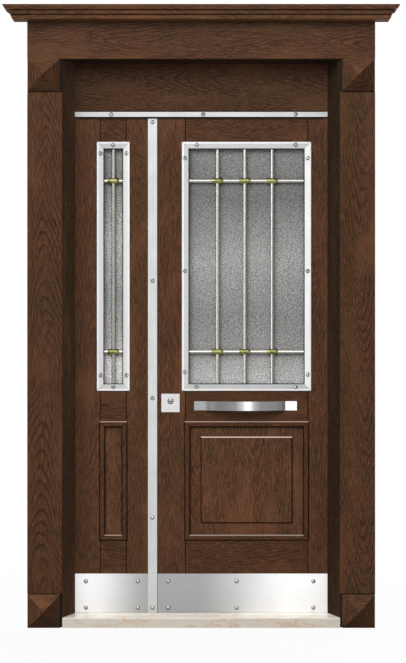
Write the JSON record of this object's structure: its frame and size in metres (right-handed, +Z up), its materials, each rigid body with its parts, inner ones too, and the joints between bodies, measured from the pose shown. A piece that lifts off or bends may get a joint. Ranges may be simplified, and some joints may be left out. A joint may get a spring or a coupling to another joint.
{
  "type": "double front door",
  "caption": "Wood-clad double front door with a narrow and a wide glazed leaf, grilles, pull handle, pilastered surround, cornice and stone threshold.",
  "frame": {"origin": "on the ground under the middle of the threshold, in the plane of the wall's outer face", "axes": "+X to the right seen from outside, +Y into the building, +Z up"},
  "size_m": [1.773, 0.3965, 2.791],
  "materials": {
    "walnut": "satin walnut",
    "dark_lining": "dark stained",
    "silver_aluminium": "satin silver",
    "stainless": "brushed stainless",
    "pebbled_glass": "pebbled grey obscured glass",
    "grille_steel": "polished steel tube",
    "collar_brass": "olive brass",
    "hinge_steel": "satin",
    "cylinder_steel": "satin nickel",
    "marble": "polished cream",
    "seal_rubber": "matt black"
  },
  "bodies": {
    "frame": {"threshold": "marble", "left_jamb": "dark_lining", "right_jamb": "dark_lining", "head_lining": "dark_lining", "transom_panel": "walnut", "transom_strip": "silver_aluminium", "left_pilaster": "walnut", "right_pilaster": "walnut", "upper_blocks": "walnut", "lower_blocks": "walnut", "header_board": "walnut", "cornice": "walnut", "frame_hinges": "hinge_steel"},
    "side_leaf": {"side_hinge_stile": "walnut", "side_meeting_stile": "walnut", "side_top_rail": "walnut", "side_lock_rail": "walnut", "side_bottom_rail": "walnut", "side_panel": "walnut", "side_panel_moulding": "walnut", "side_glass": "pebbled_glass", "side_glazing_trim": "silver_aluminium", "side_grille": "grille_steel", "side_collars": "collar_brass", "side_kick_plate": "stainless", "meeting_strip": "silver_aluminium", "meeting_seal": "seal_rubber", "side_leaf_hinges": "hinge_steel"},
    "main_leaf": {"main_hinge_stile": "walnut", "main_lock_stile": "walnut", "main_top_rail": "walnut", "main_lock_rail": "walnut", "main_bottom_rail": "walnut", "main_panel": "walnut", "main_panel_moulding": "walnut", "main_glass": "pebbled_glass", "main_glazing_trim": "silver_aluminium", "main_grille": "grille_steel", "main_collars": "collar_brass", "main_kick_plate": "stainless", "outer_pull_handle": "stainless", "inner_pull_handle": "stainless", "lock_plates": "stainless", "lock_cylinder": "cylinder_steel", "main_leaf_hinges": "hinge_steel"}
  },
  "joints": [
    {"name": "side_leaf_hinge", "type": "hinge", "parent": "frame", "child": "side_leaf", "pos_m": [-0.5935, 0.207, 0], "axis": [0, 0, 1], "range_deg": [0, 100]},
    {"name": "main_leaf_hinge", "type": "hinge", "parent": "frame", "child": "main_leaf", "pos_m": [0.5935, 0.207, 0], "axis": [0, 0, -1], "range_deg": [0, 100]}
  ]
}
